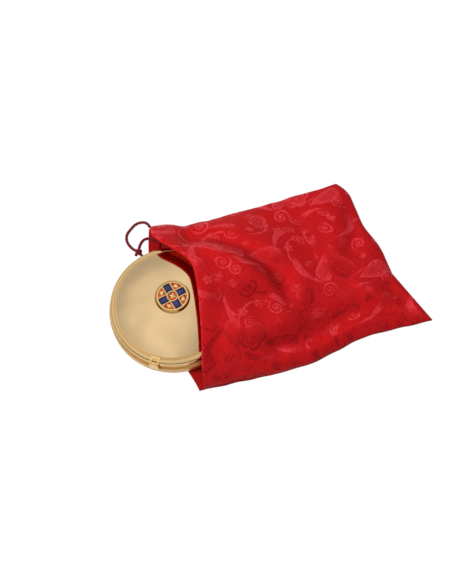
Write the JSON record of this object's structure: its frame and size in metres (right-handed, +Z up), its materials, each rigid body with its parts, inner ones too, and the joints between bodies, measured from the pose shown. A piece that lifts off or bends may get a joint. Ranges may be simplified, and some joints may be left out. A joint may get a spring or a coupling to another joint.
{
  "type": "viaticum box",
  "caption": "Round polished gold-coloured box with a hinged domed lid, front clasp and enamel medallion, half drawn out of its red brocade drawstring bag.",
  "frame": {"origin": "on the table under the box's axis, on the underside of the bag's lower panel", "axes": "+Z up along the box's axis, -Y towards the clasp, +Y towards the hinge, +X along the hinge; the bag runs off at 33 degrees from +X towards +Y"},
  "size_m": [0.1967, 0.1563, 0.0327],
  "materials": {
    "polished_gilt": "mirror-polished pale gold plating over brass",
    "pin_brass": "drawn brass wire, gilt",
    "medallion_gilt": "bright gilt cell walls and bezel",
    "blue_enamel": "glossy vitreous enamel",
    "orange_enamel": "glossy vitreous enamel",
    "brocade": "tone-on-tone woven satin brocade",
    "cord": "two-ply twisted silky cord"
  },
  "bodies": {
    "base": {"base_bowl": "polished_gilt", "base_collar": "polished_gilt", "base_hinge_leaf": "polished_gilt", "hinge_pin": "pin_brass"},
    "lid": {"lid_band": "polished_gilt", "lid_dome": "polished_gilt", "lid_hinge_leaf": "polished_gilt", "medallion_bezel": "medallion_gilt", "medallion_plate": "medallion_gilt", "blue_enamel": "blue_enamel", "orange_enamel": "orange_enamel", "hub_enamel": "orange_enamel", "clasp_bracket": "polished_gilt", "clasp_pin": "pin_brass"},
    "clasp": {"clasp_flap": "polished_gilt"},
    "bag": {"bag_lower_panel": "brocade", "bag_upper_panel": "brocade", "bag_lower_casing": "brocade", "bag_upper_casing": "brocade", "cord_lower_run": "cord", "cord_upper_run": "cord", "cord_loop": "cord", "cord_strand": "cord", "cord_knot": "cord"}
  },
  "joints": [
    {"name": "lid_hinge", "type": "hinge", "parent": "base", "child": "lid", "pos_m": [0, 0.0408, 0.00895], "axis": [-1, 0, 0], "range_deg": [0, 110], "deforming": ["bag_upper_panel", "bag_upper_casing", "cord_upper_run"]},
    {"name": "clasp_swing", "type": "hinge", "parent": "lid", "child": "clasp", "pos_m": [0, -0.0388, 0.016], "axis": [-1, 0, 0], "range_deg": [0, 35]},
    {"name": "bag_slide", "type": "slide", "parent": "base", "child": "bag", "axis": [0.8387, 0.5446, 0], "range_m": [0, 0.07]}
  ]
}
